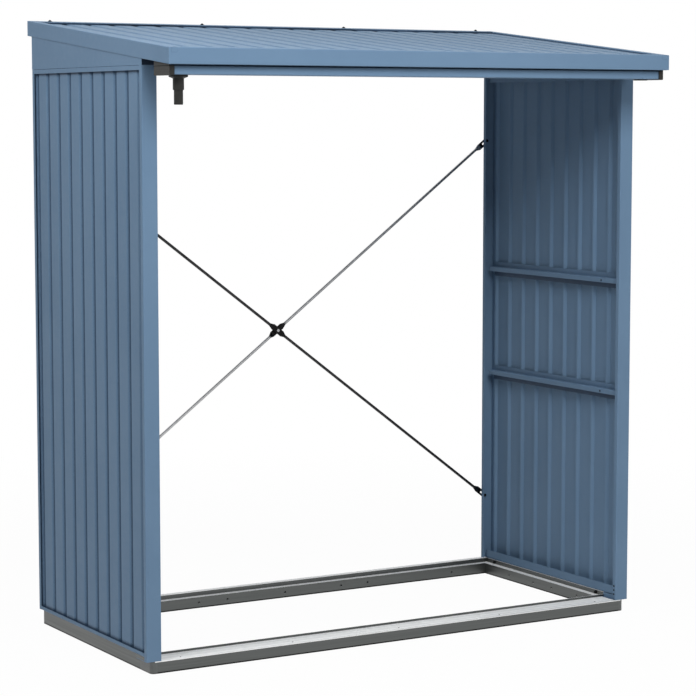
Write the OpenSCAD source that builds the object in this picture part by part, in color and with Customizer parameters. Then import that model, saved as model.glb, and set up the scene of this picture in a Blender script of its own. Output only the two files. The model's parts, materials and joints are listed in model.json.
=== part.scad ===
// Sheet-steel log store with open front and back: base frame, four folded posts,
// two ribbed side walls, a ribbed mono-pitch roof with a gutter and a cross brace.
// Millimetres. X to the right, Y to the back, Z up, standing on Z = 0.

/* [Overall] */
// Roof width, over the outside of the verge trims
roof_width = 1820; // [1200:5:2400]
// Depth of the body, over the post faces
body_depth = 820; // [600:5:1200]
// Roof overhang in front of the post faces
front_overhang = 186; // [140:1:260]
// Roof overhang behind the post faces
rear_overhang = 30; // [24:1:80]
// Height of the walls, from the base frame's upstand to the post tops
wall_height = 1780; // [1400:5:2200]
// Height of the roof's front edge over the post tops
eave_rise = 48; // [40:1:120]
// Fall of the roof from its rear edge to its front edge
roof_fall = 110; // [60:1:240]

/* [Folded sheet] */
// Thickness of all folded steel sheet
sheet = 1.5; // [1:0.1:2.5]
// Inside radius of the folds
bend_r = 0.8; // [0.4:0.1:2]
// Gap between a sheet's edge and the fold that it sits in
seat_gap = 1; // [0.5:0.1:2]

/* [Base frame] */
// Height of the base rails and of the sill strip on top of the front rail
base_height = 38; // [28:0.5:60]
// Width of the side and rear base rails
rail_width = 47.5; // [36:0.5:70]
// Width of the upstand that the walls rest on
upstand_width = 25; // [16:0.5:32]
// Height of the upstand over the rail's ledge
upstand_height = 14; // [8:0.5:24]
// Wall thickness of the base extrusions
rail_wall = 2.5; // [1.5:0.1:4]
// How far the base frame is set in from the wall's outer face
base_inset = 16; // [6:0.5:26]
// Depth of the front base rail
front_rail_depth = 80; // [60:1:120]
// Length of the moulded corner caps on the front rail's ends
corner_cap_l = 20; // [16:0.5:40]
// Radius of the corner caps' outer corners
corner_cap_r = 14; // [4:0.5:15]
// Diameter of the holes in the inner faces of the base rails
base_hole_d = 7; // [4:0.5:12]
// Distance from the rear rail's middle to its inner hole pair
rear_hole_1 = 228; // [100:1:280]
// Distance from the rear rail's middle to its second hole pair
rear_hole_2 = 338; // [300:1:420]
// Distance from the rear rail's inner corners to its outer hole pair
rear_hole_end = 147; // [60:1:200]
// Distance from a side rail's middle to its inner hole pair
side_hole_1 = 56; // [30:1:120]
// Distance from a side rail's middle to its outer hole pair
side_hole_2 = 206; // [150:1:260]

// Diameter of the holes in the inner faces of the side rails' upstands
upstand_hole_d = 5; // [3:0.5:8]
// Distance from the front rail to the front upstand hole
upstand_hole_front = 43; // [20:1:120]
// Distance from the rear rail's inner face to the rear upstand hole
upstand_hole_rear = 30; // [20:1:120]

/* [Sill strip] */
// Height of the front rail's lip behind the sill strip
sill_lip = 7; // [3:0.5:12]
// Thickness of the sill strip
sill_thick = 3; // [2:0.1:5]
// How far the sill strip stops short of the base frame's ends
sill_end_inset = 12; // [4:0.5:15]
// Number of lengthwise grooves in the sill strip
sill_grooves = 5; // [2:1:8]
// Width of a groove in the sill strip
sill_groove_w = 3; // [1:0.5:5]
// Depth of a groove in the sill strip
sill_groove_d = 1; // [0.5:0.1:1.6]

/* [Posts] */
// Width of a post's face
post_face = 50; // [36:0.5:80]
// Depth of a post's two side folds
post_fold = 16; // [10:0.5:30]
// Gap between a front post's foot plate and the front rail's lip
foot_gap = 2.5; // [1:0.5:20]

/* [Walls] */
// Thickness of a wall, from its outer face to the inner flanges
wall_thick = 38.5; // [30:0.5:60]
// Spacing of the pressed grooves in the walls and the roof
rib_pitch = 84.5; // [60:0.5:140]
// Least distance from a wall panel's side edge to the middle of its first groove
wall_rib_margin = 26; // [22:1:110]
// Width of a groove at the sheet's face
rib_width = 27; // [14:0.5:40]
// Width of a groove's flat floor
rib_floor = 9; // [4:0.5:12]
// Depth of a groove
rib_depth = 8; // [4:0.5:14]
// How far a wall panel's face lies behind the outer flanges around it
panel_setback = 4; // [0:0.5:8]
// Height of the bottom channel's outer flange
channel_outer = 12; // [8:0.5:24]
// Height of the inner flanges of the bottom channel and the top rail
channel_inner = 30; // [16:0.5:50]
// Height of the top rail's outer flange
top_outer = 14.5; // [8:0.5:24]
// Width of the inward flanges on a gable plate
gable_flange = 25; // [14:0.5:34]

/* [Inner rails] */
// Height of the lower rail's face at its bottom edge
lower_rail_z = 737; // [400:1:900]
// Height of the upper rail's face at its bottom edge
upper_rail_z = 1117; // [950:1:1300]
// Height of a rail's face
hat_face = 17; // [10:0.5:30]
// Height of each of a rail's flanges
hat_flange = 17; // [10:0.5:30]
// How far a rail's ends stay behind the post faces
hat_end_gap = 27.5; // [20:0.5:60]
// Diameter of the hole in a rail's face
hat_hole_d = 5; // [3:0.5:8]
// Distance of the hole from the rail's front end
hat_hole_gap = 88; // [30:1:160]

/* [Roof] */
// Least distance from the roof sheet's side edge to the middle of its first groove
roof_rib_margin = 75; // [30:1:110]
// Height of the verge trims and of the rear trim
verge_height = 48.5; // [36:0.5:80]
// Width of the top flanges of the verge trims and the fascia
trim_flange = 25; // [18:0.5:40]
// Width of the rear trim's top flange
rear_flange = 44; // [24:0.5:70]
// Height of the trims' top over the roof sheet
trim_step = 6; // [4:0.5:12]
// Width of the front folds of the verge trims
verge_fold = 8; // [4:0.5:16]
// Depth of the edge folds of fascia, rear trim and gutter
edge_fold = 10; // [6:0.5:13]
// Height of the front fascia
fascia_height = 49; // [36:0.5:80]
// Depth of the front and rear headers
header_depth = 40; // [28:0.5:70]

/* [Gutter] */
// Depth of the gutter from front to back
gutter_depth = 97; // [70:1:110]
// Height of the gutter's front
gutter_height = 26; // [16:0.5:50]
// Distance from the fascia's face back to the gutter's face
gutter_setback = 20; // [14:0.5:40]
// Gap between the fascia's lower edge and the gutter
gutter_gap = 3; // [1:0.5:8]
// Width of the flange that hangs the gutter under the roof sheet
hang_flange = 30; // [16:0.5:50]
// How far the gutter caps' outer faces stay inside the roof's sides
gutter_end_inset = 10; // [6:0.5:30]
// Depth of the rim of a gutter end cap
cap_rim = 14; // [6:0.5:24]
// Wall of the plastic end caps and outlet
plastic_wall = 2.5; // [1.5:0.1:4]
// Radius of the end caps' lower corners
cap_r = 4; // [3:0.5:8]

/* [Outlet and plug] */
// Distance of the two outlet holes from the gutter's ends
outlet_inset = 51.5; // [40:0.5:200]
// Diameter of the outlet's flange
outlet_flange_d = 57; // [48:0.5:80]
// Thickness of the outlet's flange
outlet_flange_h = 6; // [3:0.5:14]
// Height of the taper under the outlet's flange
outlet_taper_h = 5; // [2:0.5:14]
// Diameter of the outlet's upper body
outlet_body_d = 33; // [31:0.5:46]
// Length of the outlet's upper body
outlet_body_h = 33; // [20:0.5:80]
// Diameter of the outlet's lower spigot
outlet_spigot_d = 27; // [20:0.5:30]
// Length of the outlet's lower spigot, with its chamfer
outlet_spigot_h = 43; // [20:0.5:100]
// Chamfer at the spigot's end
outlet_chamfer = 1.5; // [0.5:0.1:2]
// Diameter of the blank plug's flange
plug_flange_d = 46; // [40:0.5:80]
// Thickness of the blank plug's flange
plug_flange_h = 4; // [2:0.5:10]
// Clearance of the outlet and the plug in the gutter's holes, on the diameter
outlet_clearance = 0.6; // [0.2:0.1:2]

/* [Cross brace] */
// Height of the lower brace bolts over the rear posts' lower ends
brace_low_gap = 232; // [120:1:400]
// Height of the rear posts' tops over the upper brace bolts
brace_top_gap = 240; // [120:1:400]
// Distance of the brace bolts from the inner edge of a post's face
anchor_inset = 14; // [12:0.5:24]
// Diameter of a brace rod
brace_d = 10; // [9:0.5:16]
// Width of a rod's flattened end
paddle_w = 21; // [16:0.5:30]
// Length of a rod's flattened inner end
paddle_l = 34; // [26:0.5:60]
// Thickness of a rod's flattened end
paddle_t = 2.4; // [1.5:0.1:3]
// Length of the pressed change from round rod to flat end
swage_l = 12; // [6:0.5:24]
// Diameter of the brace bolts
brace_bolt_d = 6; // [4:0.5:10]
// Length that a bolt can slide in the slot of a rod's outer end
brace_slot = 20; // [8:0.5:30]
// Clearance of the bolts in their holes, on the diameter
bolt_clearance = 0.6; // [0.2:0.1:2]
// Width of the bolt heads and nuts, over their corners
bolt_head_w = 11; // [8:0.5:18]
// Height of the bolt heads and nuts
bolt_head_h = 4; // [2:0.5:8]

/* [Hidden] */
roof_depth = front_overhang + body_depth + rear_overhang;
y_roof_front = -roof_depth / 2;
y_roof_rear = roof_depth / 2;
y_front = y_roof_front + front_overhang;
y_rear = y_front + body_depth;
y_mid = (y_front + y_rear) / 2;
y_sill_back = y_front + front_rail_depth - rail_wall;
x_roof = roof_width / 2;
x_wall = x_roof - sheet;
x_skin = x_wall - sheet;
x_inner = x_wall - wall_thick;
x_post = x_wall - post_face;
x_base = x_wall - base_inset;
x_rail = x_base - rail_width;
x_sill = x_base - sill_end_inset;
x_trim = x_roof - trim_flange;
wall_bottom = base_height + upstand_height;
post_top = wall_bottom + wall_height;
front_height = post_top + eave_rise;
rear_height = front_height + roof_fall;
slope = roof_fall / roof_depth;
roof_angle = atan(slope);
plumb = 1 / cos(roof_angle);
z_fascia = front_height - fascia_height;
z_gutter_top = z_fascia - gutter_gap;
z_gutter = z_gutter_top - gutter_height;
y_gutter = y_roof_front + gutter_setback;
y_gutter_mid = y_gutter + gutter_depth / 2;
y_gutter_back = y_gutter + gutter_depth;
x_gutter = x_roof - gutter_end_inset - plastic_wall;
x_outlet = x_gutter - outlet_inset;
outlet_bore_d = outlet_spigot_d - 2 * plastic_wall;
x_panel = x_skin - panel_setback;
rib_crest = x_panel - sheet - rib_depth;
x_hat = rib_crest - sheet;
x_upstand = x_base - upstand_width;
rear_hole_3 = x_rail - rear_hole_end;
x_anchor = x_post + anchor_inset;
brace_low = wall_bottom + brace_low_gap;
brace_high = post_top - brace_top_gap;
brace_z = (brace_low + brace_high) / 2;
brace_rise = (brace_high - brace_low) / 2;
brace_len = norm([x_anchor, brace_rise]);
brace_tilt = atan2(brace_rise, x_anchor);
y_brace = y_rear + brace_d / 2;
swage_inset = 0.2;
cut = 1;
bend_steps = 3;
$fn = 48;

steel_blue = [0.46, 0.57, 0.67];
dark_alloy = [0.37, 0.38, 0.38];
silver = [0.86, 0.87, 0.88];
bright_steel = [0.70, 0.71, 0.72];
dark_steel = [0.25, 0.26, 0.27];
black_plastic = [0.10, 0.10, 0.10];

// Height of the trims' top surface at a place along the roof's depth.
function roof_z(y) = front_height + slope * (y - y_roof_front);
// Height of the top of the roof sheet's flat pans.
function pan_z(y) = roof_z(y) - trim_step * plumb;
// Height of the underside of the roof sheet's flat pans.
function pan_under(y) = pan_z(y) - sheet * plumb;
// Height of the underside of the roof sheet's grooves.
function groove_under(y) = pan_under(y) - rib_depth * plumb;

// Unit step from one point to another, and the unit normal to its left.
function ahead(a, b) = (b - a) / norm(b - a);
function left_of(a, b) = let (d = ahead(a, b)) [-d[1], d[0]];

// One corner of a folded line, rounded. The thickness is to the line's left, so a left turn
// has the line on the outside of its bend and a right turn has it on the inside.
function bend(a, p, b) =
    let (
        u = ahead(p, a),
        v = ahead(p, b),
        turn = sign(cross(-u, v)),
        r = turn > 0 ? bend_r + sheet : bend_r,
        open = acos(u * v),
        middle = p + ahead([0, 0], u + v) * r / sin(open / 2),
        from = p + u * r / tan(open / 2) - middle,
        start = atan2(from[1], from[0])
    )
    [for (k = [0 : bend_steps])
        let (at = start + turn * (180 - open) * k / bend_steps)
        middle + r * [cos(at), sin(at)]];

// A folded line with all its corners rounded.
function bent(path) = [
    path[0],
    for (k = [1 : len(path) - 2]) each bend(path[k - 1], path[k], path[k + 1]),
    path[len(path) - 1]
];

// A line moved to its left by t, with mitred corners.
function moved(path, t) = [
    for (k = [0 : len(path) - 1])
        let (
            last = len(path) - 1,
            n0 = left_of(path[max(k - 1, 0)], path[max(k, 1)]),
            n1 = left_of(path[min(k, last - 1)], path[min(k + 1, last)])
        )
        path[k] + (n0 + n1) * t / (1 + n0 * n1)
];

// Section of a sheet folded along a line, with its thickness to the line's left.
module folded(path) {
    face = bent(path);
    back = moved(face, sheet);
    polygon(concat(face, [for (k = [len(back) - 1 : -1 : 0]) back[k]]));
}

// Side-view profile carried across from x0 to x1.
module across(x0, x1) {
    translate([x0, 0, 0])
        rotate([90, 0, 90])
            linear_extrude(height = x1 - x0)
                children();
}

// Front-view profile carried from y0 back to y1.
module along(y0, y1) {
    translate([0, y1, 0])
        rotate([90, 0, 0])
            linear_extrude(height = y1 - y0)
                children();
}

// Plan profile carried up from z0 to z1.
module upright(z0, z1) {
    translate([0, 0, z0])
        linear_extrude(height = z1 - z0)
            children();
}

// Front-view profile with its top at 0, carried up the roof's slope and cut plumb at y0 and y1.
module up_slope(y0, y1) {
    intersection() {
        translate([0, y_roof_front, front_height])
            rotate([roof_angle, 0, 0])
                along(-roof_depth, 2 * roof_depth)
                    children();
        across(-x_roof - cut, x_roof + cut)
            translate([y0, 0])
                square([y1 - y0, 2 * rear_height]);
    }
}

// Box between two corners.
module box(a, b) {
    translate(a)
        cube(b - a);
}

// The same piece on the right (side 1) or the left (side -1).
module on_side(side) {
    if (side > 0) {
        children();
    } else {
        mirror([1, 0, 0])
            children();
    }
}

// Section of the side and rear base rails: inner face at 0, outer face at rail_width.
module rail_section() {
    ledge = rail_width - upstand_width;
    difference() {
        polygon([
            [0, 0], [rail_width, 0], [rail_width, wall_bottom],
            [ledge, wall_bottom], [ledge, base_height], [0, base_height]
        ]);
        // lower chamber, and the upstand's chamber over a web
        translate([rail_wall, rail_wall])
            square([rail_width - 2 * rail_wall, base_height - 2 * rail_wall]);
        translate([ledge + rail_wall, base_height])
            square([upstand_width - 2 * rail_wall, upstand_height - rail_wall]);
    }
}

// Plan of all that lies in front of the 45 degree mitre at the right rear corner.
module rear_mitre() {
    polygon([
        [x_rail - rail_width, y_rear - 2 * rail_width],
        [x_base + rail_width, y_rear + rail_width],
        [x_base + rail_width, y_front],
        [x_rail - rail_width, y_front]
    ]);
}

module side_rail(side) {
    color(dark_alloy)
        on_side(side)
            difference() {
                intersection() {
                    along(y_front + front_rail_depth, y_rear)
                        translate([x_rail, 0])
                            rail_section();
                    upright(0, wall_bottom)
                        rear_mitre();
                }
                for (place = [-side_hole_2, -side_hole_1, side_hole_1, side_hole_2]) {
                    translate([x_rail - cut, y_mid + place, base_height / 2])
                        rotate([0, 90, 0])
                            cylinder(d = base_hole_d, h = rail_wall + 2 * cut);
                }
                for (y = [y_front + front_rail_depth + upstand_hole_front,
                          y_rear - rail_width - upstand_hole_rear]) {
                    translate([x_upstand - cut, y, base_height + upstand_height / 2])
                        rotate([0, 90, 0])
                            cylinder(d = upstand_hole_d, h = rail_wall + 2 * cut);
                }
            }
}

module base_left_rail() {
    side_rail(-1);
}

module base_right_rail() {
    side_rail(1);
}

module base_rear_rail() {
    pairs = [rear_hole_1, rear_hole_2, rear_hole_3];
    color(dark_alloy)
        difference() {
            across(-x_base, x_base)
                translate([y_rear - rail_width, 0])
                    rail_section();
            for (side = [-1, 1]) {
                on_side(side)
                    upright(-cut, wall_bottom + cut)
                        rear_mitre();
            }
            for (place = [0, each pairs, each -pairs]) {
                translate([place, y_rear - rail_width - cut, base_height / 2])
                    rotate([-90, 0, 0])
                        cylinder(d = base_hole_d, h = rail_wall + 2 * cut);
            }
        }
}

// Front rail: an extrusion with two chambers and a lip behind the sill strip.
module base_front_rail() {
    deck = base_height - sill_thick;
    chamber = (front_rail_depth - 3 * rail_wall) / 2;
    color(dark_alloy)
        across(-x_base + corner_cap_l, x_base - corner_cap_l)
            translate([y_front, 0])
                difference() {
                    union() {
                        square([front_rail_depth, deck]);
                        translate([front_rail_depth - rail_wall, 0])
                            square([rail_wall, base_height + sill_lip]);
                    }
                    for (y = [rail_wall, 2 * rail_wall + chamber]) {
                        translate([y, rail_wall])
                            square([chamber, deck - 2 * rail_wall]);
                    }
                }
}

// Moulded caps on the front rail's ends, with a round outer corner and a pocket for the sill strip.
module base_corner_caps() {
    color(dark_alloy)
        for (side = [-1, 1]) {
            on_side(side)
                difference() {
                    upright(0, base_height) {
                        translate([x_base - corner_cap_l, y_front + corner_cap_r])
                            square([corner_cap_l, front_rail_depth - corner_cap_r]);
                        translate([x_base - corner_cap_l, y_front])
                            square([corner_cap_l - corner_cap_r, front_rail_depth]);
                        translate([x_base - corner_cap_r, y_front + corner_cap_r])
                            intersection() {
                                circle(r = corner_cap_r);
                                translate([0, -corner_cap_r])
                                    square(corner_cap_r);
                            }
                    }
                    box([x_base - corner_cap_l - cut, y_front - cut, base_height - sill_thick],
                        [x_sill, y_sill_back, base_height + cut]);
                }
        }
}

module sill_strip() {
    depth = y_sill_back - y_front;
    step = depth / (sill_grooves + 1);
    color(silver)
        across(-x_sill, x_sill)
            translate([y_front, base_height - sill_thick])
                difference() {
                    square([depth, sill_thick]);
                    for (k = [1 : sill_grooves]) {
                        translate([k * step - sill_groove_w / 2, sill_thick - sill_groove_d])
                            square([sill_groove_w, sill_groove_d + cut]);
                    }
                }
}

// Plan of a front right post: a face between two side folds.
module post_plan() {
    folded([
        [x_post, y_front + post_fold],
        [x_post, y_front],
        [x_wall, y_front],
        [x_wall, y_front + post_fold]
    ]);
}

module front_post(side) {
    color(steel_blue)
        on_side(side) {
            upright(base_height, post_top)
                post_plan();
            // foot plate on the sill strip, from the end of the folds' bends
            box([x_post, y_front + sheet + bend_r, base_height],
                [x_skin, y_sill_back - foot_gap, base_height + sheet]);
        }
}

module rear_post(side) {
    color(steel_blue)
        on_side(side)
            difference() {
                upright(wall_bottom, post_top)
                    translate([0, 2 * y_mid])
                        mirror([0, 1])
                            post_plan();
                for (z = [brace_low, brace_high]) {
                    translate([x_anchor, y_rear + cut, z])
                        rotate([90, 0, 0])
                            cylinder(d = brace_bolt_d + bolt_clearance, h = sheet + 2 * cut);
                }
            }
}

module front_left_post() {
    front_post(-1);
}

module front_right_post() {
    front_post(1);
}

module rear_left_post() {
    rear_post(-1);
}

module rear_right_post() {
    rear_post(1);
}

// One groove's outline on a sheet whose face is at depth 0, as points along the sheet.
function groove(middle) = [
    [middle - rib_width / 2, 0],
    [middle - rib_floor / 2, rib_depth],
    [middle + rib_floor / 2, rib_depth],
    [middle + rib_width / 2, 0]
];

// Section of a grooved sheet of a given half width, face at 0, grooves going to + depth.
module ribbed_section(half, margin) {
    count = floor(2 * (half - margin) / rib_pitch) + 1;
    mids = [for (k = [0 : count - 1]) (k - (count - 1) / 2) * rib_pitch];
    face = concat([[-half, 0]], [for (m = mids) each groove(m)], [[half, 0]]);
    back = [for (k = [len(face) - 1 : -1 : 0]) face[k] + [0, sheet]];
    polygon(concat(face, back));
}

// Wall panel: stands on the bottom channel's floor, inside the posts and the top rail.
module wall_panel(side) {
    color(steel_blue)
        on_side(side)
            upright(wall_bottom + sheet, post_top - sheet - seat_gap)
                translate([x_panel, y_mid])
                    rotate(90)
                        ribbed_section(body_depth / 2 - sheet - seat_gap, wall_rib_margin);
}

module left_wall_panel() {
    wall_panel(-1);
}

module right_wall_panel() {
    wall_panel(1);
}

module bottom_channel(side) {
    color(steel_blue)
        on_side(side)
            along(y_front + post_fold, y_rear - post_fold)
                folded([
                    [x_inner, wall_bottom + channel_inner],
                    [x_inner, wall_bottom],
                    [x_wall, wall_bottom],
                    [x_wall, wall_bottom + channel_outer]
                ]);
}

module left_bottom_channel() {
    bottom_channel(-1);
}

module right_bottom_channel() {
    bottom_channel(1);
}

module top_rail(side) {
    color(steel_blue)
        on_side(side)
            along(y_front + post_fold, y_rear - post_fold)
                folded([
                    [x_wall, post_top - top_outer],
                    [x_wall, post_top],
                    [x_inner, post_top],
                    [x_inner, post_top - channel_inner]
                ]);
}

module left_top_rail() {
    top_rail(-1);
}

module right_top_rail() {
    top_rail(1);
}

// Wedge-shaped plate between the top rail and the roof, with a flange at its foot and head.
module gable_plate(side) {
    y0 = y_front + header_depth;
    y1 = y_rear - header_depth;
    color(steel_blue)
        on_side(side) {
            across(x_skin, x_wall)
                polygon([
                    [y_front, post_top], [y_rear, post_top],
                    [y_rear, pan_under(y_rear)], [y_front, pan_under(y_front)]
                ]);
            box([x_wall - gable_flange, y0, post_top], [x_wall, y1, post_top + sheet]);
            up_slope(y0, y1)
                translate([x_wall - gable_flange, -trim_step - 2 * sheet])
                    square([gable_flange, sheet]);
        }
}

module left_gable_plate() {
    gable_plate(-1);
}

module right_gable_plate() {
    gable_plate(1);
}

// Hat section of an inner rail: flanges on the wall's ribs, face towards the inside.
module hat_rail(side, z) {
    y0 = y_front + hat_end_gap;
    y1 = y_rear - hat_end_gap;
    color(steel_blue)
        on_side(side)
            difference() {
                along(y0, y1)
                    folded([
                        [x_hat, z + hat_face + hat_flange],
                        [x_hat, z + hat_face],
                        [x_inner, z + hat_face],
                        [x_inner, z],
                        [x_hat, z],
                        [x_hat, z - hat_flange]
                    ]);
                translate([x_inner - cut, y0 + hat_hole_gap, z + hat_face / 2])
                    rotate([0, 90, 0])
                        cylinder(d = hat_hole_d, h = sheet + 2 * cut);
            }
}

module left_upper_rail() {
    hat_rail(-1, upper_rail_z);
}

module left_lower_rail() {
    hat_rail(-1, lower_rail_z);
}

module right_upper_rail() {
    hat_rail(1, upper_rail_z);
}

module right_lower_rail() {
    hat_rail(1, lower_rail_z);
}

module roof_sheet() {
    color(steel_blue)
        up_slope(y_roof_front + sheet, y_roof_rear - sheet)
            translate([0, -trim_step])
                mirror([0, 1])
                    ribbed_section(x_wall, roof_rib_margin);
}

// Front fascia: a face with a fold under it, and a raised hem on the roof sheet between the verges.
module front_fascia() {
    y1 = y_roof_front + trim_flange;
    x1 = x_roof - verge_fold;
    color(steel_blue) {
        across(-x1, x1)
            folded([
                [y_roof_front, pan_z(y_roof_front)],
                [y_roof_front, z_fascia],
                [y_roof_front + edge_fold, z_fascia]
            ]);
        across(-x_trim, x_trim)
            folded([
                [y1, pan_z(y1)],
                [y1, roof_z(y1)],
                [y_roof_front, front_height],
                [y_roof_front, z_fascia + edge_fold]
            ]);
    }
}

// Rear trim: a raised hem on the roof sheet and a face with a fold under it.
module rear_trim() {
    y0 = y_roof_rear - rear_flange;
    z0 = rear_height - verge_height;
    color(steel_blue) {
        across(-x_wall, x_wall)
            folded([
                [y_roof_rear - edge_fold, z0],
                [y_roof_rear, z0],
                [y_roof_rear, pan_z(y_roof_rear)]
            ]);
        across(-x_trim, x_trim)
            folded([
                [y_roof_rear, z0 + edge_fold],
                [y_roof_rear, rear_height],
                [y0, roof_z(y0)],
                [y0, pan_z(y0)]
            ]);
    }
}

// Verge trim: a face down the roof's side, a raised hem on the sheet and a short fold at the front.
module verge_trim(side) {
    color(steel_blue)
        on_side(side) {
            up_slope(y_roof_front, y_roof_rear)
                folded([
                    [x_roof, -verge_height / plumb],
                    [x_roof, 0],
                    [x_trim, 0],
                    [x_trim, -trim_step]
                ]);
            box([x_roof - verge_fold, y_roof_front, front_height - verge_height],
                [x_wall, y_roof_front + sheet, front_height - sheet]);
        }
}

module left_verge_trim() {
    verge_trim(-1);
}

module right_verge_trim() {
    verge_trim(1);
}

// Headers across the post tops, front and rear, with a sloped flange under the roof sheet.
module front_header() {
    y1 = y_front + header_depth;
    color(steel_blue)
        across(-x_skin, x_skin)
            folded([
                [y1, groove_under(y1)],
                [y_front, groove_under(y_front)],
                [y_front, post_top],
                [y1, post_top]
            ]);
}

module rear_header() {
    y0 = y_rear - header_depth;
    color(steel_blue)
        across(-x_skin, x_skin)
            folded([
                [y0, post_top],
                [y_rear, post_top],
                [y_rear, groove_under(y_rear)],
                [y0, groove_under(y0)]
            ]);
}

// Shallow gutter with a hemmed front, hung from the roof sheet by its tall back.
module gutter() {
    y_hang = y_gutter_back - hang_flange;
    color(steel_blue)
        difference() {
            across(-x_gutter, x_gutter)
                folded([
                    [y_gutter + edge_fold, z_gutter_top],
                    [y_gutter, z_gutter_top],
                    [y_gutter, z_gutter],
                    [y_gutter_back, z_gutter],
                    [y_gutter_back, groove_under(y_gutter_back)],
                    [y_hang, groove_under(y_hang)]
                ]);
            for (side = [-1, 1]) {
                translate([side * x_outlet, y_gutter_mid, z_gutter - cut])
                    cylinder(d = outlet_spigot_d, h = sheet + 2 * cut);
            }
        }
}

// End cap: a plate with a rim around the gutter's front, bottom and back.
module gutter_cap(side) {
    size = [gutter_depth + 2 * plastic_wall, gutter_height + plastic_wall];
    color(black_plastic)
        on_side(side)
            difference() {
                across(x_gutter - cap_rim, x_gutter + plastic_wall)
                    translate([y_gutter - plastic_wall, z_gutter - plastic_wall]) {
                        translate([cap_r, 0])
                            square([size[0] - 2 * cap_r, size[1]]);
                        translate([0, cap_r])
                            square([size[0], size[1] - cap_r]);
                        for (y = [cap_r, size[0] - cap_r]) {
                            translate([y, cap_r])
                                circle(r = cap_r);
                        }
                    }
                box([x_gutter - cap_rim - cut, y_gutter, z_gutter],
                    [x_gutter, y_gutter_back, z_gutter_top + cut]);
            }
}

module gutter_left_cap() {
    gutter_cap(-1);
}

module gutter_right_cap() {
    gutter_cap(1);
}

// Stepped outlet, turned: collar in the gutter's hole, flange, taper, body and spigot.
module gutter_outlet() {
    collar_top = z_gutter + 2 * sheet;
    z1 = z_gutter - outlet_flange_h;
    z2 = z1 - outlet_taper_h;
    z3 = z2 - outlet_body_h;
    z4 = z3 - outlet_spigot_h;
    collar_r = (outlet_spigot_d - outlet_clearance) / 2;
    spigot_r = outlet_spigot_d / 2;
    color(black_plastic)
        translate([-x_outlet, y_gutter_mid, 0])
            rotate_extrude()
                polygon([
                    [outlet_bore_d / 2, z4],
                    [spigot_r - outlet_chamfer, z4],
                    [spigot_r, z4 + outlet_chamfer],
                    [spigot_r, z3],
                    [outlet_body_d / 2, z3],
                    [outlet_body_d / 2, z2],
                    [outlet_flange_d / 2, z1],
                    [outlet_flange_d / 2, z_gutter],
                    [collar_r, z_gutter],
                    [collar_r, collar_top],
                    [outlet_bore_d / 2, collar_top]
                ]);
}

// Blank plug in the gutter's other hole.
module gutter_plug() {
    collar_r = (outlet_spigot_d - outlet_clearance) / 2;
    color(black_plastic)
        translate([x_outlet, y_gutter_mid, 0])
            rotate_extrude()
                polygon([
                    [0, z_gutter - plug_flange_h],
                    [plug_flange_d / 2, z_gutter - plug_flange_h],
                    [plug_flange_d / 2, z_gutter],
                    [collar_r, z_gutter],
                    [collar_r, z_gutter + 2 * sheet],
                    [0, z_gutter + 2 * sheet]
                ]);
}

// Flat end plate from its round tip's middle at x_tip to x_root, at depth y0.
module paddle(x_tip, x_root, y0) {
    translate([x_tip, y0, 0])
        rotate([-90, 0, 0])
            cylinder(d = paddle_w, h = paddle_t);
    box([min(x_tip, x_root), y0, -paddle_w / 2], [max(x_tip, x_root), y0 + paddle_t, paddle_w / 2]);
}

// Pressed change from the flat end at x_flat to the round rod at x_round.
// It starts inside both, a little smaller than they are.
module swage(x_flat, x_round, y0) {
    toward = sign(x_round - x_flat);
    half_w = paddle_w / 2 - swage_inset;
    hull() {
        translate([x_flat - toward * cut, y0 + swage_inset, -half_w])
            cube([swage_inset, paddle_t - 2 * swage_inset, 2 * half_w]);
        translate([x_round + toward * cut, y_brace, 0])
            rotate([0, 90, 0])
                cylinder(d = brace_d - 2 * swage_inset, h = swage_inset);
    }
}

// One half rod along +X from the centre bolt, lying behind the rear posts' faces.
// level is the place of its inner flattened end in the stack on the centre bolt.
module half_rod(level) {
    hole_d = brace_bolt_d + bolt_clearance;
    inner_root = paddle_l - paddle_w / 2;
    outer_root = brace_len - brace_slot - inner_root;
    y_inner = y_rear + level * paddle_t;
    rod_0 = inner_root + swage_l;
    rod_1 = outer_root - swage_l;
    difference() {
        union() {
            translate([rod_0, y_brace, 0])
                rotate([0, 90, 0])
                    cylinder(d = brace_d, h = rod_1 - rod_0);
            paddle(0, inner_root, y_inner);
            swage(inner_root, rod_0, y_inner);
            paddle(brace_len, outer_root, y_rear);
            swage(outer_root, rod_1, y_rear);
        }
        for (x = [0, brace_len - brace_slot, brace_len]) {
            translate([x, y_rear - cut, 0])
                rotate([-90, 0, 0])
                    cylinder(d = hole_d, h = brace_d + 2 * cut);
        }
        box([brace_len - brace_slot, y_rear - cut, -hole_d / 2],
            [brace_len, y_rear + paddle_t + cut, hole_d / 2]);
    }
}

module brace_rod(side, up, level) {
    color(bright_steel)
        translate([0, 0, brace_z])
            on_side(side)
                rotate([0, -up * brace_tilt, 0])
                    half_rod(level);
}

module brace_upper_left() {
    brace_rod(-1, 1, 0);
}

module brace_lower_right() {
    brace_rod(1, -1, 1);
}

module brace_upper_right() {
    brace_rod(1, 1, 2);
}

module brace_lower_left() {
    brace_rod(-1, -1, 3);
}

// Bolt along Y that clamps what lies between y0 and y1, with a head in front and a nut behind.
module bolt(y0, y1) {
    for (y = [y0 - bolt_head_h, y1]) {
        translate([0, y, 0])
            rotate([-90, 0, 0])
                cylinder(d = bolt_head_w, h = bolt_head_h, $fn = 6);
    }
    translate([0, y0 - bolt_head_h, 0])
        rotate([-90, 0, 0])
            cylinder(d = brace_bolt_d, h = y1 - y0 + 2 * bolt_head_h);
}

module brace_centre_bolt() {
    color(dark_steel)
        translate([0, 0, brace_z])
            bolt(y_rear, y_rear + 4 * paddle_t);
}

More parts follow.
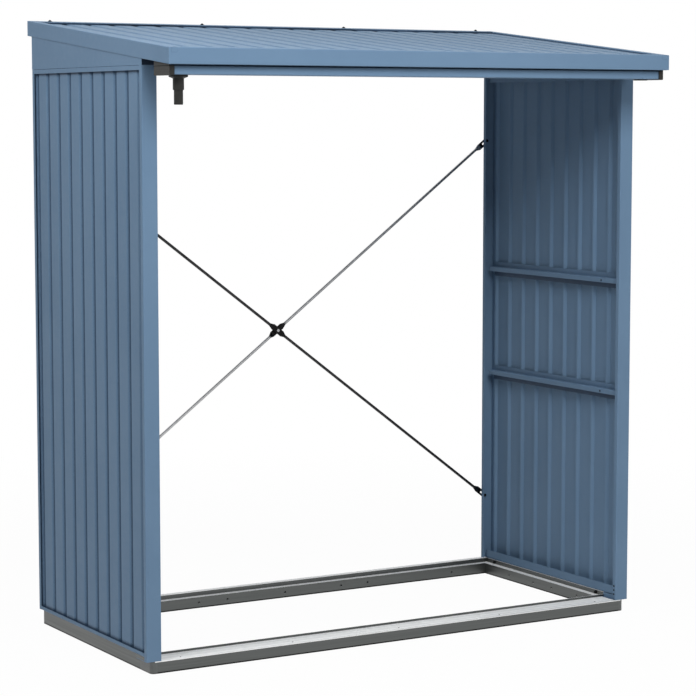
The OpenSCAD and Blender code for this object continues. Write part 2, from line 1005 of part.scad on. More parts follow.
module brace_anchor_bolts() {
    color(dark_steel)
        for (x = [-x_anchor, x_anchor], z = [brace_low, brace_high]) {
            translate([x, 0, z])
                bolt(y_rear - sheet, y_rear + paddle_t);
        }
}

base_front_rail();
base_rear_rail();
base_left_rail();
base_right_rail();
base_corner_caps();
sill_strip();
front_left_post();
front_right_post();
rear_left_post();
rear_right_post();
left_wall_panel();
right_wall_panel();
left_bottom_channel();
right_bottom_channel();
left_top_rail();
right_top_rail();
left_gable_plate();
right_gable_plate();
left_upper_rail();
left_lower_rail();
right_upper_rail();
right_lower_rail();
roof_sheet();
front_fascia();
rear_trim();
left_verge_trim();
right_verge_trim();
front_header();
rear_header();
gutter();
gutter_left_cap();
gutter_right_cap();
gutter_outlet();
gutter_plug();
brace_upper_left();
brace_upper_right();
brace_lower_left();
brace_lower_right();
brace_centre_bolt();
brace_anchor_bolts();
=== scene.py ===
# Studio scene of a sheet-steel log store: surface finishes, fasteners, small closing plates, floor,
# light and camera. Metres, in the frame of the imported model: X to the right, Y to the back, Z up.
import json
import math

import bmesh
import bpy
from mathutils import Matrix, Vector


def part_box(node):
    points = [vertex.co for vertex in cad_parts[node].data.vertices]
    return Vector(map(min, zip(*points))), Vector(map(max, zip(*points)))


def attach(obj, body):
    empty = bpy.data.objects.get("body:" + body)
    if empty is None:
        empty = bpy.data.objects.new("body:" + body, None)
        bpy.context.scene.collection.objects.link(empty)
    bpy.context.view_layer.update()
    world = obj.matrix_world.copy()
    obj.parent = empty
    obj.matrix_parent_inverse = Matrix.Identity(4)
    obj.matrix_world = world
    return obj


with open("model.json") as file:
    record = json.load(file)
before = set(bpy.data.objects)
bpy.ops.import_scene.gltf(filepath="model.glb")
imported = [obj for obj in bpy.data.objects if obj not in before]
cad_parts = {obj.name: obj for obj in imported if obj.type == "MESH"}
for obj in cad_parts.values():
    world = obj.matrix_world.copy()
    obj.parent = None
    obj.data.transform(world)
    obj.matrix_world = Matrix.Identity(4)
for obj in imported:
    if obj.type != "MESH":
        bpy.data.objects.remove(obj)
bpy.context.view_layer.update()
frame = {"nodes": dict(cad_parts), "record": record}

MM = 0.001
FULL_TURN = 2 * math.pi
SIDES = (-1, 1)
ALONG_X, ALONG_Y, ALONG_Z = range(3)
LEFT = (-1, 0, 0)
RIGHT = (1, 0, 0)
UP = (0, 0, 1)
DOWN = (0, 0, -1)
FRONT = (0, -1, 0)

HAT_RAILS = ("left_upper_rail", "left_lower_rail", "right_upper_rail", "right_lower_rail")

# Nodes whose finish is a variant of their slot's.
NODE_FINISHES = {
    "base_left_rail": "base_alloy_sides",
    "base_right_rail": "base_alloy_sides",
    # The rear trim's faces towards the front are darkened as painted shade.
    "rear_trim": "painted_steel_sealed",
    # The ribbed sheets get painted shade in their grooves, on the faces that look outward.
    "left_wall_panel": "ribbed_steel_left",
    "right_wall_panel": "ribbed_steel_right",
    "roof_sheet": "ribbed_steel_roof",
    # The rear posts get only faint painted shade, in their deepest hollows.
    "rear_left_post": "clean_steel",
    "rear_right_post": "clean_steel",
    # The front header is painted near black as painted shade under the roof's overhang.
    "front_header": "primed_steel",
    # The rod from upper left to lower right: the same zinc rod, darker as a painted reflection of dark
    # surroundings.
    "brace_upper_left": "dark_rod",
    "brace_lower_right": "dark_rod",
    "brace_centre_bolt": "zinc_bolt",
    # The hat rails get painted shade under their overhangs and on their faces that look down.
    **dict.fromkeys(HAT_RAILS, "hat_rail_steel"),
}

# Where a brace rod's flattened ends give way to round rod, from the crossing, in metres.
CROSSING_END = (0.034, 0.042)
POST_END = (1.050, 1.060)

# Painted shade in laps, in pressed grooves, faint on some parts, and under overhangs: how far it looks
# for other faces, in metres, and the openness at which it covers the paint fully and not at all.
LAP_HOLLOW = (0.022, 0.48, 0.90)
GROOVE_HOLLOW = (0.014, 0.86, 0.985)
FAINT_SHADE_HOLLOW = (0.022, 0.0, 0.3)
OVERHANG_HOLLOW = (0.030, 0.45, 0.80)
HOLLOW_SAMPLES = 8

# Height in metres up to which a painted contact shadow darkens the base frame's foot, and from which it
# is gone.
FOOT_SHADOW_LINE = (0.0030, 0.0055)

# The part of a noise's values that ramps and spans use.
NOISE_LOW = 0.3
NOISE_HIGH = 0.7

# Stretch of the noise that draws lines along an extrusion or a strip.
GRAIN_X = (0.01, 1, 1)
GRAIN_Y = (1, 0.01, 1)
LONG_GRAIN_X = (0.003, 1, 1)

# Fastener heads, in millimetres: dome radius and height, washer radius and thickness.
ROOF_BOLT_HEAD = (5, 4, 7.5, 1.2)
UPSTAND_SCREW_HEAD = (6, 6, 6.6, 1.5)
FOOT_SCREW_HEAD = (2.8, 1.8, 3.4, 0.6)
RAIL_SCREW_HEAD = (2.6, 1.6, 3.2, 0.5)
SILL_SCREW_HEAD = (2.2, 0.5, 2.6, 0.3)
HEAD_SIDES = 20
DOME_STEPS = 6
SMOOTH_BELOW = math.radians(35)

# Share of a washer's thickness that is upright; the rest is its chamfer.
WASHER_WALL = 0.6

# Places of the fasteners. The roof bolts' reach is from the middle to the outermost bolt, and the other
# lengths are from the edges of the pieces that the fasteners sit in.
ROOF_BOLT_COUNT = 4
ROOF_BOLT_REACH = 835 * MM
ROOF_BOLT_INSET = 10 * MM
UPSTAND_SCREW_FRONT = 43 * MM
UPSTAND_SCREW_BACK = 77.5 * MM
UPSTAND_SCREW_DROP = 7 * MM
FOOT_SCREW_HEIGHTS = (20 * MM, 34 * MM, 48 * MM)
FOOT_SCREW_SETBACK = 9 * MM
RAIL_SCREW_SETBACK = 88 * MM
SILL_SCREW_COUNT = 5
SILL_SCREW_END_GAP = 95 * MM
SILL_SCREW_SETBACK = 19 * MM

# Sizes that the small pieces share with the solids, and those of the verge trims' end tabs.
SHEET = 1.5 * MM
UPSTAND_WIDTH = 25 * MM
ROOF_RISE = 110 * MM
ROOF_DEPTH = 1036 * MM
ROOF_SLOPE = math.atan2(ROOF_RISE, ROOF_DEPTH)
TAB_SHEET = 0.6 * MM
TAB_HEIGHT = 14 * MM
TAB_LAP = 3 * MM

# Camera at the photograph's viewing angle, for a square picture.
CAMERA_PLACE = (-3.8615, -6.5074, 1.6844)
CAMERA_YAW = math.radians(30.654)
CAMERA_PITCH = math.radians(5.778)
CAMERA_LENS_MM = 118.96
CAMERA_FAR = 200
SENSOR_MM = 36.0

# Colours, linear.
PAINT_LOW = (0.135, 0.222, 0.335, 1)
PAINT_HIGH = (0.150, 0.242, 0.360, 1)
# Painted shade in hollows and under overhangs, darker than the paint.
CREVICE_SHADE = (0.036, 0.066, 0.118, 1)
CREVICE_SHADE_HIGH = (0.044, 0.078, 0.136, 1)
# Near-black paint that stands in for the shade on the front header.
HEADER_SHADE_LOW = (0.014, 0.024, 0.042, 1)
HEADER_SHADE_HIGH = (0.020, 0.032, 0.054, 1)
# Painted shade on faces that look one way, such as the rear trim's front and the rails' undersides.
SIDE_SHADE = (0.010, 0.018, 0.032, 1)
# Painted reflection of the bare alloy: dark on upright faces, near white on faces that look up.
ALLOY_SIDE = (0.110, 0.116, 0.114, 1)
ALLOY_SIDE_PALE = (0.128, 0.134, 0.132, 1)
ALLOY_LEDGE_REFLECTION = (0.93, 0.94, 0.94, 1)
ALLOY_LEDGE_REFLECTION_PALE = (0.98, 0.98, 0.98, 1)
# Painted reflection: the bare strip near white, as it mirrors bright surroundings.
SILL_REFLECTION_LOW = (0.955, 0.965, 0.96, 1)
SILL_REFLECTION_HIGH = (0.985, 0.99, 0.985, 1)
SILL_LINE_LOW = (0.78, 0.795, 0.795, 1)
SILL_LINE_HIGH = (0.86, 0.875, 0.87, 1)
PLASTIC_LOW = (0.018, 0.018, 0.017, 1)
PLASTIC_HIGH = (0.028, 0.028, 0.026, 1)
CAP_LOW = (0.046, 0.052, 0.050, 1)
CAP_HIGH = (0.058, 0.064, 0.062, 1)
# Painted contact shadow along the base frame's foot.
FOOT_SHADOW_LOW = (0.010, 0.010, 0.010, 1)
FOOT_SHADOW_HIGH = (0.018, 0.018, 0.017, 1)
ZINC_LOW = (0.40, 0.40, 0.405, 1)
ZINC_HIGH = (0.50, 0.50, 0.505, 1)
# The same zinc, darker as a painted reflection of dark surroundings.
SHADED_ZINC_LOW = (0.024, 0.024, 0.025, 1)
SHADED_ZINC_HIGH = (0.044, 0.044, 0.046, 1)
BOLT_LOW = (0.006, 0.006, 0.006, 1)
BOLT_HIGH = (0.014, 0.014, 0.015, 1)
FLOOR_LOW = (0.78, 0.78, 0.78, 1)
FLOOR_HIGH = (0.84, 0.84, 0.84, 1)
WHITE = (1, 1, 1, 1)

FLOOR_RADIUS = 40.0
FLOOR_SEGMENTS = 96
FLOOR_DROP = 0.5 * MM

# How far the floor's white is mixed in close to the object, and where it is all white, in metres.
FLOOR_WHITE_NEAR = 0.97
FADE_START = 1.6
FADE_END = 4.0

# The world's light on surfaces, and the strength of its white where it is seen or mirrored.
WORLD_COLOUR = (0.97, 0.99, 1.0, 1)
WORLD_STRENGTH = 0.02
WHITE_STRENGTH = 1.0

# Soft boxes: name, place, side length in metres, power in watts.
SOFT_BOXES = (
    ("front_left_box", (-1.5, -4.8, 5.0), 2.5, 113),
    ("front_right_box", (2.4, -4.5, 2.6), 1.5, 40),
    ("front_near_box", (-0.6, -2.8, 3.6), 1.6, 57),
    ("left_box", (-4.6, -1.2, 5.0), 3.0, 76),
    ("left_near_box", (-2.8, -0.6, 3.6), 1.5, 38),
    ("right_box", (4.8, 0.6, 3.2), 3.0, 60),
    ("back_box", (0.5, 4.5, 3.5), 3.0, 30),
)
AIM = Vector((0, 0, 1.0))


class Tree:
    """A node tree, with short calls for the nodes that the world and the materials share."""

    def __init__(self, tree):
        self.tree = tree

    def new(self, kind):
        return self.tree.nodes.new(kind)

    def join(self, source, target):
        self.tree.links.new(source, target)

    def maths(self, operation, first, second):
        node = self.new("ShaderNodeMath")
        node.operation = operation
        self.join(first, node.inputs[0])
        self.join(second, node.inputs[1])
        return node.outputs["Value"]

    def mix_shaders(self, factor, first, second):
        node = self.new("ShaderNodeMixShader")
        self.join(factor, node.inputs["Fac"])
        self.join(first, node.inputs[1])
        self.join(second, node.inputs[2])
        return node.outputs["Shader"]

    def seen_rays(self):
        """1 for camera, glossy and transmission rays, 0 for the rays that light surfaces."""
        path = self.new("ShaderNodeLightPath")
        value = path.outputs["Is Camera Ray"]
        for name in ("Is Glossy Ray", "Is Transmission Ray"):
            value = self.maths("MAXIMUM", value, path.outputs[name])
        return value


class Surface(Tree):
    """A material's node tree, with short calls for the nodes that the finishes share."""

    def __init__(self, name):
        self.material = bpy.data.materials.new(name)
        self.material.use_nodes = True
        super().__init__(self.material.node_tree)
        self.shader = self.tree.nodes["Principled BSDF"]
        self.place = self.new("ShaderNodeTexCoord").outputs["Object"]

    def noise(self, scale, detail, stretch=(1, 1, 1), distortion=0.0):
        """Noise by place, in cells per metre, stretched along an axis by a small factor there."""
        mapping = self.new("ShaderNodeMapping")
        mapping.inputs["Scale"].default_value = stretch
        self.join(self.place, mapping.inputs["Vector"])
        node = self.new("ShaderNodeTexNoise")
        node.inputs["Scale"].default_value = scale
        node.inputs["Detail"].default_value = detail
        node.inputs["Distortion"].default_value = distortion
        self.join(mapping.outputs["Vector"], node.inputs["Vector"])
        return node.outputs["Fac"]

    def ramp(self, value, low, high):
        """A colour from low to high, as a noise goes through the part of its values that is used."""
        node = self.new("ShaderNodeValToRGB")
        first, last = node.color_ramp.elements
        first.position, first.color = NOISE_LOW, low
        last.position, last.color = NOISE_HIGH, high
        self.join(value, node.inputs["Fac"])
        return node.outputs["Color"]

    def blend(self, factor, first, second):
        node = self.new("ShaderNodeMix")
        node.data_type = "RGBA"
        self.join(factor, node.inputs["Factor"])
        self.join(first, node.inputs["A"])
        self.join(second, node.inputs["B"])
        return node.outputs["Result"]

    def span(self, value, low, high, start=NOISE_LOW, end=NOISE_HIGH):
        """A value from low to high, as the one given goes from start to end."""
        node = self.new("ShaderNodeMapRange")
        node.inputs["From Min"].default_value = start
        node.inputs["From Max"].default_value = end
        node.inputs["To Min"].default_value = low
        node.inputs["To Max"].default_value = high
        self.join(value, node.inputs["Value"])
        return node.outputs["Result"]

    def vector_maths(self, operation, first, second=None):
        """The outputs of a vector operation on a joined value and, where it takes one, a fixed value."""
        node = self.new("ShaderNodeVectorMath")
        node.operation = operation
        self.join(first, node.inputs[0])
        if second is not None:
            node.inputs[1].default_value = second
        return node.outputs

    def normal(self):
        return self.new("ShaderNodeNewGeometry").outputs["Normal"]

    def facing(self, direction, start=0.6, end=0.85):
        """1 on faces that look in a direction, 0 on faces turned well away from it."""
        likeness = self.vector_maths("DOT_PRODUCT", self.normal(), direction)["Value"]
        return self.span(likeness, 0, 1, start, end)

    def foot_shadowed(self, colour):
        """The colour, with a painted contact shadow: a dark line along the base frame's lower edge."""
        split = self.new("ShaderNodeSeparateXYZ")
        self.join(self.place, split.inputs["Vector"])
        above = self.span(split.outputs["Z"], 0, 1, *FOOT_SHADOW_LINE)
        return self.blend(above, self.ramp(self.noise(scale=80, detail=2), FOOT_SHADOW_LOW, FOOT_SHADOW_HIGH), colour)

    def openness(self, reach, start, end, lean=None):
        """0 deep in grooves and laps, 1 on open faces; the reach is in metres.

        A lean turns the look around towards a direction: up, it finds what lies under overhangs.
        """
        node = self.new("ShaderNodeAmbientOcclusion")
        node.samples = HOLLOW_SAMPLES
        node.inputs["Distance"].default_value = reach
        if lean is not None:
            leaning = self.vector_maths("ADD", self.normal(), lean)["Vector"]
            self.join(self.vector_maths("NORMALIZE", leaning)["Vector"], node.inputs["Normal"])
        return self.span(node.outputs["AO"], 0, 1, start, end)

    def between_ends(self):
        """1 along a brace rod, 0 on its flattened ends at the crossing and at the post."""
        low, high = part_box("brace_centre_bolt")
        reach = self.vector_maths("DISTANCE", self.place, (low + high) / 2)["Value"]
        inner = self.span(reach, 0, 1, *CROSSING_END)
        outer = self.span(reach, 1, 0, *POST_END)
        return self.maths("MINIMUM", inner, outer)

    def bump(self, height, depth, strength, under=None):
        """A normal that follows a height, of a depth in metres, over another normal if one is given."""
        node = self.new("ShaderNodeBump")
        node.inputs["Distance"].default_value = depth
        node.inputs["Strength"].default_value = strength
        self.join(height, node.inputs["Height"])
        if under is not None:
            self.join(under, node.inputs["Normal"])
        return node.outputs["Normal"]

    def finish(self, colour, roughness, normal, metallic=0.0, specular=0.5):
        self.join(colour, self.shader.inputs["Base Color"])
        self.join(roughness, self.shader.inputs["Roughness"])
        self.join(normal, self.shader.inputs["Normal"])
        self.shader.inputs["Metallic"].default_value = metallic
        self.shader.inputs["Specular IOR Level"].default_value = specular
        return self.material


def painted_steel(name, low=PAINT_LOW, high=PAINT_HIGH, hollow=LAP_HOLLOW, lean=None, outside=None,
                  shaded_side=None):
    """Satin polyester paint on sheet: faint mottling, painted shade in hollows, orange peel and slack.

    A lean sends the painted shade under overhangs, outside keeps it off faces turned away from that
    direction, and a shaded side gets painted shade on the faces that look in that direction.
    """
    n = Surface(name)
    mottle = n.noise(scale=3.5, detail=4, distortion=0.4)
    paint = n.ramp(mottle, low, high)
    # Painted shade: the paint darkens where hollows are deep, or under overhangs when it leans.
    hollow_shade = n.ramp(n.noise(scale=40, detail=2), CREVICE_SHADE, CREVICE_SHADE_HIGH)
    colour = n.blend(n.openness(*hollow, lean), hollow_shade, paint)
    if outside is not None:
        colour = n.blend(n.facing(outside, start=0.1, end=0.3), paint, colour)
    if shaded_side is not None:
        # Painted shade on the faces that look in that direction.
        side_shade = n.ramp(mottle, SIDE_SHADE, CREVICE_SHADE)
        colour = n.blend(n.facing(shaded_side), colour, side_shade)
    roughness = n.span(n.noise(scale=55, detail=3), low=0.47, high=0.57)
    slack = n.bump(n.noise(scale=2.6, detail=1), depth=0.0022, strength=0.35)
    peel = n.bump(n.noise(scale=900, detail=2), depth=0.00006, strength=0.5, under=slack)
    return n.finish(colour, roughness, peel, specular=0.16)


def base_alloy(name, grain):
    """Extruded alloy, die lines: painted reflection dark on upright faces, pale on top; painted foot
    shadow.
    """
    n = Surface(name)
    lines = n.noise(scale=420, detail=3, stretch=grain)
    side = n.ramp(lines, ALLOY_SIDE, ALLOY_SIDE_PALE)
    # Near white on faces that look up, as a painted reflection of bright surroundings.
    ledge_reflection = n.ramp(lines, ALLOY_LEDGE_REFLECTION, ALLOY_LEDGE_REFLECTION_PALE)
    up = n.facing(UP)
    # Painted contact shadow along the foot.
    colour = n.foot_shadowed(n.blend(up, side, ledge_reflection))
    roughness = n.span(n.noise(scale=160, detail=3, stretch=grain), low=0.36, high=0.5)
    normal = n.bump(lines, depth=0.00005, strength=0.5)
    material = n.finish(colour, roughness, normal)
    # Metallic on the upright faces only; the tops' near white is the painted reflection.
    n.join(n.span(up, low=1, high=0, start=0, end=1), n.shader.inputs["Metallic"])
    return material


def sill_alloy(name):
    """Rolled strip with faint lengthwise lines; near white as a painted reflection of bright
    surroundings.
    """
    n = Surface(name)
    lines = n.noise(scale=150, detail=2, stretch=GRAIN_X)
    # Near white as a painted reflection of bright surroundings.
    strip = n.ramp(lines, SILL_REFLECTION_LOW, SILL_REFLECTION_HIGH)
    drawn = n.ramp(lines, SILL_LINE_LOW, SILL_LINE_HIGH)
    plain = n.span(n.noise(scale=110, detail=1, stretch=LONG_GRAIN_X), low=0, high=1, start=0.38, end=0.5)
    colour = n.blend(plain, drawn, strip)
    roughness = n.span(lines, low=0.42, high=0.55)
    normal = n.bump(lines, depth=0.00004, strength=0.12)
    return n.finish(colour, roughness, normal, metallic=0.08)


def moulded_plastic(name, low, high, specular):
    """Moulded plastic with a fine grain; on the base frame it has the painted contact shadow at the foot.
    """
    n = Surface(name)
    # Painted contact shadow along the foot.
    colour = n.foot_shadowed(n.ramp(n.noise(scale=38, detail=3), low, high))
    roughness = n.span(n.noise(scale=260, detail=2), low=0.34, high=0.5)
    normal = n.bump(n.noise(scale=1900, detail=2), depth=0.00005, strength=0.5)
    return n.finish(colour, roughness, normal, specular=specular)


def zinc_rod(name, low, high):
    """Drawn, zinc-plated rod with flattened ends that forging has darkened."""
    n = Surface(name)
    cloud = n.noise(scale=60, detail=3)
    shank = n.ramp(cloud, low, high)
    forged = n.ramp(cloud, BOLT_LOW, BOLT_HIGH)
    colour = n.blend(n.between_ends(), forged, shank)
    roughness = n.span(n.noise(scale=240, detail=3), low=0.2, high=0.32)
    normal = n.bump(n.noise(scale=700, detail=2), depth=0.00004, strength=0.3)
    return n.finish(colour, roughness, normal, metallic=0.9)


def steel_bolt(name, low, high):
    """Blackened or plated steel of the bolts and screws."""
    n = Surface(name)
    colour = n.ramp(n.noise(scale=300, detail=3), low, high)
    roughness = n.span(n.noise(scale=600, detail=2), low=0.32, high=0.5)
    normal = n.bump(n.noise(scale=1500, detail=2), depth=0.00004, strength=0.5)
    return n.finish(colour, roughness, normal, metallic=0.8, specular=0.3)


def floor_finish(name):
    """Pale diffuse floor for the rays that light surfaces, nearly white for the rays that are seen."""
    n = Surface(name)
    n.tree.nodes.remove(n.shader)
    diffuse = n.new("ShaderNodeBsdfDiffuse")
    n.join(n.ramp(n.noise(scale=6, detail=2), FLOOR_LOW, FLOOR_HIGH), diffuse.inputs["Color"])
    white = n.new("ShaderNodeEmission")
    white.inputs["Color"].default_value = WHITE
    distance = n.vector_maths("LENGTH", n.place)["Value"]
    fade = n.span(distance, FLOOR_WHITE_NEAR, 1.0, FADE_START, FADE_END)
    factor = n.maths("MULTIPLY", fade, n.seen_rays())
    mix = n.mix_shaders(factor, diffuse.outputs["BSDF"], white.outputs["Emission"])
    n.join(mix, n.tree.nodes["Material Output"].inputs["Surface"])
    return n.material


def make_finishes():
    """The materials by name: one for each record slot, and the variants that some nodes have."""
    makers = (
        # The plain paint has painted shade in its laps and hollows.
        (painted_steel, "painted_steel", {}),
        # The rear trim's faces towards the front darkened as painted shade.
        (painted_steel, "painted_steel_sealed", {"shaded_side": FRONT}),
        # Painted shade under the rails' overhangs and on their faces that look down.
        (painted_steel, "hat_rail_steel", {"hollow": OVERHANG_HOLLOW, "lean": UP, "shaded_side": DOWN}),
        # Painted shade in the pressed grooves of the ribbed sheets.
        (painted_steel, "ribbed_steel_left", {"hollow": GROOVE_HOLLOW, "outside": LEFT}),
        (painted_steel, "ribbed_steel_right", {"hollow": GROOVE_HOLLOW, "outside": RIGHT}),
        (painted_steel, "ribbed_steel_roof", {"hollow": GROOVE_HOLLOW, "outside": UP}),
        # Only faint painted shade, in the deepest hollows.
        (painted_steel, "clean_steel", {"hollow": FAINT_SHADE_HOLLOW}),
        # Near-black paint as painted shade.
        (painted_steel, "primed_steel", {"low": HEADER_SHADE_LOW, "high": HEADER_SHADE_HIGH}),
        (sill_alloy, "sill_alloy", {}),
        (moulded_plastic, "black_plastic", {"low": PLASTIC_LOW, "high": PLASTIC_HIGH, "specular": 0.2}),
        (moulded_plastic, "base_plastic", {"low": CAP_LOW, "high": CAP_HIGH, "specular": 1.0}),
        (zinc_rod, "zinc_rod", {"low": ZINC_LOW, "high": ZINC_HIGH}),
        # The same zinc rod, darker as a painted reflection.
        (zinc_rod, "dark_rod", {"low": SHADED_ZINC_LOW, "high": SHADED_ZINC_HIGH}),
        (steel_bolt, "dark_bolt", {"low": BOLT_LOW, "high": BOLT_HIGH}),
        (steel_bolt, "zinc_bolt", {"low": ZINC_LOW, "high": ZINC_HIGH}),
        (base_alloy, "base_alloy", {"grain": GRAIN_X}),
        (base_alloy, "base_alloy_sides", {"grain": GRAIN_Y}),
    )
    return {name: make(name, **settings) for make, name, settings in makers}


def dress_nodes(finishes):
    """The CAD nodes keep their shape and get their own finish, or else their slot's."""
    for part in frame["record"]["subparts"]:
        finish = NODE_FINISHES.get(part["node"], part["material_slot"])
        materials = frame["nodes"][part["node"]].data.materials
        materials.clear()
        materials.append(finishes[finish])


def add_object(name, mesh, material):
    """Turns a mesh under construction into an object of the scene."""
    data = bpy.data.meshes.new(name)
    mesh.to_mesh(data)
    mesh.free()
    data.materials.append(material)
    added = bpy.data.objects.new(name, data)
    bpy.context.scene.collection.objects.link(added)
    return added


def revolved(mesh, profile, matrix):
    """Adds a solid of revolution about the matrix's Z axis; the profile runs from axis to axis."""
    rings = []
    for radius, height in profile:
        count = 1 if radius == 0 else HEAD_SIDES
        turns = [FULL_TURN * k / HEAD_SIDES for k in range(count)]
        places = [Vector((radius * math.cos(t), radius * math.sin(t), height)) for t in turns]
        rings.append([mesh.verts.new(matrix @ p) for p in places])
    for low, high in zip(rings, rings[1:]):
        for k in range(HEAD_SIDES):
            corners = [low[k % len(low)], low[(k + 1) % len(low)]]
            corners += [high[(k + 1) % len(high)], high[k % len(high)]]
            mesh.faces.new(list(dict.fromkeys(corners)))


def dome_profile(head):
    """Domed head on a flat washer, from the axis below to the axis on top."""
    radius, height, washer_radius, washer_height = (size * MM for size in head)
    chamfer = washer_height * (1 - WASHER_WALL)
    points = [(0, 0), (washer_radius, 0), (washer_radius, washer_height * WASHER_WALL)]
    points.append((washer_radius - chamfer, washer_height))
    for k in range(DOME_STEPS):
        angle = math.pi / 2 * k / DOME_STEPS
        points.append((radius * math.cos(angle), washer_height + height * math.sin(angle)))
    points.append((0, washer_height + height))
    return points


def fasteners(name, seats, head, material):
    """One piece of like fasteners: each seat is a place on a surface and the direction out of it."""
    mesh = bmesh.new()
    profile = dome_profile(head)
    for place, outward in seats:
        turn = Vector(UP).rotation_difference(Vector(outward)).to_matrix().to_4x4()
        revolved(mesh, profile, Matrix.Translation(place) @ turn)
    bmesh.ops.recalc_face_normals(mesh, faces=mesh.faces)
    piece = add_object(name, mesh, material)
    for face in piece.data.polygons:
        face.use_smooth = True
    piece.data.set_sharp_from_angle(angle=SMOOTH_BELOW)
    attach(piece, "root")


def spread(first, last, count):
    """Evenly spaced values from the first to the last."""
    return [first + (last - first) * k / (count - 1) for k in range(count)]


def inner_face(low, high):
    """The side of the store that a box is on, as a sign, and where its face towards the middle is."""
    return (1, low.x) if low.x > 0 else (-1, high.x)


def roof_bolts(material):
    """Domed bolts along the rear trim."""
    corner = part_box("rear_trim")[1]
    outward = (0, -math.sin(ROOF_SLOPE), math.cos(ROOF_SLOPE))
    y, z = corner.y - ROOF_BOLT_INSET, corner.z - ROOF_BOLT_INSET * math.tan(ROOF_SLOPE)
    row = spread(-ROOF_BOLT_REACH, ROOF_BOLT_REACH, ROOF_BOLT_COUNT)
    fasteners("roof_bolts", [(Vector((x, y, z)), outward) for x in row], ROOF_BOLT_HEAD, material)


def upstand_screws(material):
    """Black screws in the holes of the side rails' upstands."""
    seats = []
    for node, side in zip(("base_left_rail", "base_right_rail"), SIDES):
        low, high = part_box(node)
        x = side * (max(-low.x, high.x) - UPSTAND_WIDTH)
        for y in (low.y + UPSTAND_SCREW_FRONT, high.y - UPSTAND_SCREW_BACK):
            seats.append((Vector((x, y, high.z - UPSTAND_SCREW_DROP)), (-side, 0, 0)))
    fasteners("upstand_screws", seats, UPSTAND_SCREW_HEAD, material)


def foot_screws(material):
    """Three screws through the inner fold of each front post, over its foot plate."""
    seats = []
    for node in ("front_left_post", "front_right_post"):
        low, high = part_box(node)
        side, x = inner_face(low, high)
        for height in FOOT_SCREW_HEIGHTS:
            seats.append((Vector((x, low.y + FOOT_SCREW_SETBACK, low.z + height)), (-side, 0, 0)))
    fasteners("foot_screws", seats, FOOT_SCREW_HEAD, material)


def rail_screws(material):
    """Black screws in the holes at the hat rails' front ends."""
    seats = []
    for node in HAT_RAILS:
        low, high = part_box(node)
        side, x = inner_face(low, high)
        seats.append((Vector((x, low.y + RAIL_SCREW_SETBACK, (low.z + high.z) / 2)), (-side, 0, 0)))
    fasteners("rail_screws", seats, RAIL_SCREW_HEAD, material)


def sill_screws(material):
    """Small flat screws along the front of the sill strip."""
    low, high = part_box("sill_strip")
    row = spread(low.x + SILL_SCREW_END_GAP, high.x - SILL_SCREW_END_GAP, SILL_SCREW_COUNT)
    seats = [(Vector((x, low.y + SILL_SCREW_SETBACK, high.z)), UP) for x in row]
    fasteners("sill_screws", seats, SILL_SCREW_HEAD, material)


def plates(name, slabs, along, material):
    """One piece of thin plates: each slab is an outline with its start and end along an axis."""
    mesh = bmesh.new()
    for outline, start, end in slabs:
        ends = []
        for level in (start, end):
            places = [Vector(point[:along] + (level,) + point[along:]) for point in outline]
            ends.append([mesh.verts.new(p) for p in places])
            mesh.faces.new(ends[-1])
        for k in range(len(outline)):
            after = (k + 1) % len(outline)
            mesh.faces.new((ends[0][k], ends[0][after], ends[1][after], ends[1][k]))
    bmesh.ops.recalc_face_normals(mesh, faces=mesh.faces)
    piece = add_object(name, mesh, material)
    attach(piece, "root")


def both_sides(outline, start, end):
    """A slab on the left and its mirror image on the right; the outline's first values are X."""
    return [([(side * x, other) for x, other in outline], start, end) for side in SIDES]


def foot_gap():
    """The gap under a wall channel's front end: its outer side, front and back, and its heights."""
    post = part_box("front_left_post")[0]
    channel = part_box("left_bottom_channel")[0]
    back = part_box("base_left_rail")[0].y
    return -post.x - SHEET, channel.y, back, (post.z + SHEET, channel.z)


def foot_closers(material):
    """Brackets folded up from the front posts' foot plates: they close the side rails' front ends."""
    plate, front, back, heights = foot_gap()
    outer = plate - SHEET
    inner = -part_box("base_left_rail")[0].x - UPSTAND_WIDTH
    plan = [(outer, back), (inner, back), (inner, front), (inner + SHEET, front)]
    plan += [(inner + SHEET, back - SHEET), (outer, back - SHEET)]
    plates("foot_closers", both_sides(plan, *heights), ALONG_Z, material)


def rail_ends(material):
    """Alloy plates on the outer edges of the front posts' foot plates, up to the bottom channels."""
    outer, front, back, heights = foot_gap()
    plan = [(outer - SHEET, front), (outer, front), (outer, back), (outer - SHEET, back)]
    plates("rail_end_plates", both_sides(plan, *heights), ALONG_Z, material)


def end_tabs(material):
    """Small tabs that close the verge trims' front ends over the fascia."""
    fascia_low, fascia_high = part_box("front_fascia")
    top = fascia_high.z - (fascia_high.y - fascia_low.y) * math.tan(ROOF_SLOPE)
    low = top - TAB_HEIGHT
    outer, inner = -fascia_low.x, -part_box("left_verge_trim")[1].x - TAB_LAP
    outline = [(inner + TAB_LAP, low), (outer, low), (outer, top), (inner, top), (inner, low + TAB_LAP)]
    slabs = both_sides(outline, fascia_low.y - TAB_SHEET, fascia_low.y)
    plates("verge_end_tabs", slabs, ALONG_Y, material)


def cap_rims(material):
    """Rims on the gutter caps' outer walls, which rise with the roof to just under the verge trims."""
    gutter_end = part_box("gutter")[1].x
    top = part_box("front_fascia")[0].z
    slabs = []
    for node, side in zip(("gutter_left_cap", "gutter_right_cap"), SIDES):
        low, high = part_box(node)
        front, back, foot = low.y, high.y, high.z - SHEET
        rise = (back - front) * math.tan(ROOF_SLOPE)
        outline = [(front, foot), (back, foot), (back, top + rise), (front, top)]
        slabs.append((outline, side * gutter_end, side * max(-low.x, high.x)))
    plates("gutter_cap_rims", slabs, ALONG_X, material)


def make_floor():
    """Pale floor: keeps a soft shadow near the object and is plain white to the camera further off."""
    mesh = bmesh.new()
    bmesh.ops.create_circle(mesh, cap_ends=True, segments=FLOOR_SEGMENTS, radius=FLOOR_RADIUS)
    floor = add_object("floor", mesh, floor_finish("floor"))
    floor.location.z = -FLOOR_DROP


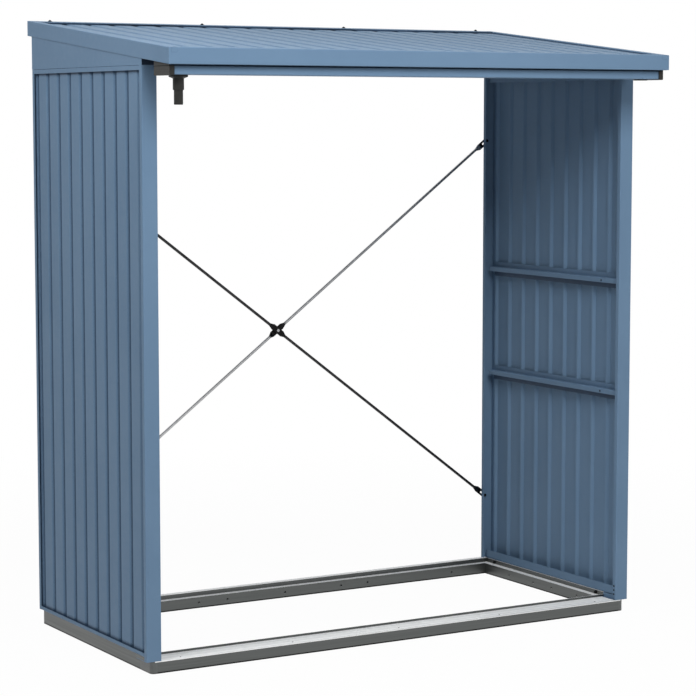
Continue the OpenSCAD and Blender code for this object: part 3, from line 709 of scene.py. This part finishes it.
def make_world():
    """White where it is seen or mirrored, and a soft even light otherwise."""
    world = bpy.data.worlds.new("studio")
    world.use_nodes = True
    nodes = Tree(world.node_tree)
    nodes.tree.nodes.clear()
    shades = []
    for colour, strength in ((WORLD_COLOUR, WORLD_STRENGTH), (WHITE, WHITE_STRENGTH)):
        shade = nodes.new("ShaderNodeBackground")
        shade.inputs["Color"].default_value = colour
        shade.inputs["Strength"].default_value = strength
        shades.append(shade.outputs["Background"])
    output = nodes.new("ShaderNodeOutputWorld")
    nodes.join(nodes.mix_shaders(nodes.seen_rays(), *shades), output.inputs["Surface"])
    bpy.context.scene.world = world


def make_lights():
    """Square soft boxes aimed at the store; neither the camera nor reflections show them."""
    for name, place, side, power in SOFT_BOXES:
        data = bpy.data.lights.new(name, "AREA")
        data.shape = "SQUARE"
        data.size = side
        data.energy = power
        lamp = bpy.data.objects.new(name, data)
        lamp.location = place
        lamp.rotation_euler = (AIM - Vector(place)).to_track_quat("-Z", "Y").to_euler()
        lamp.visible_glossy = False
        lamp.visible_camera = False
        bpy.context.scene.collection.objects.link(lamp)


def make_camera():
    """A camera without roll or shift, turned by its yaw and tilted down by its pitch."""
    data = bpy.data.cameras.new("camera")
    data.lens = CAMERA_LENS_MM
    data.sensor_width = SENSOR_MM
    data.sensor_fit = "HORIZONTAL"
    data.clip_end = CAMERA_FAR
    camera = bpy.data.objects.new("camera", data)
    camera.location = CAMERA_PLACE
    camera.rotation_euler = (math.pi / 2 - CAMERA_PITCH, 0, -CAMERA_YAW)
    bpy.context.scene.collection.objects.link(camera)
    bpy.context.scene.camera = camera


def main():
    finishes = make_finishes()
    dress_nodes(finishes)
    for make in (roof_bolts, upstand_screws, foot_screws, rail_screws, sill_screws):
        make(finishes["dark_bolt"])
    for make in (foot_closers, end_tabs):
        make(finishes["clean_steel"])
    rail_ends(finishes["base_alloy_sides"])
    cap_rims(finishes["black_plastic"])
    make_floor()
    make_world()
    make_lights()
    make_camera()
    bpy.context.scene.view_settings.view_transform = "Standard"


main()
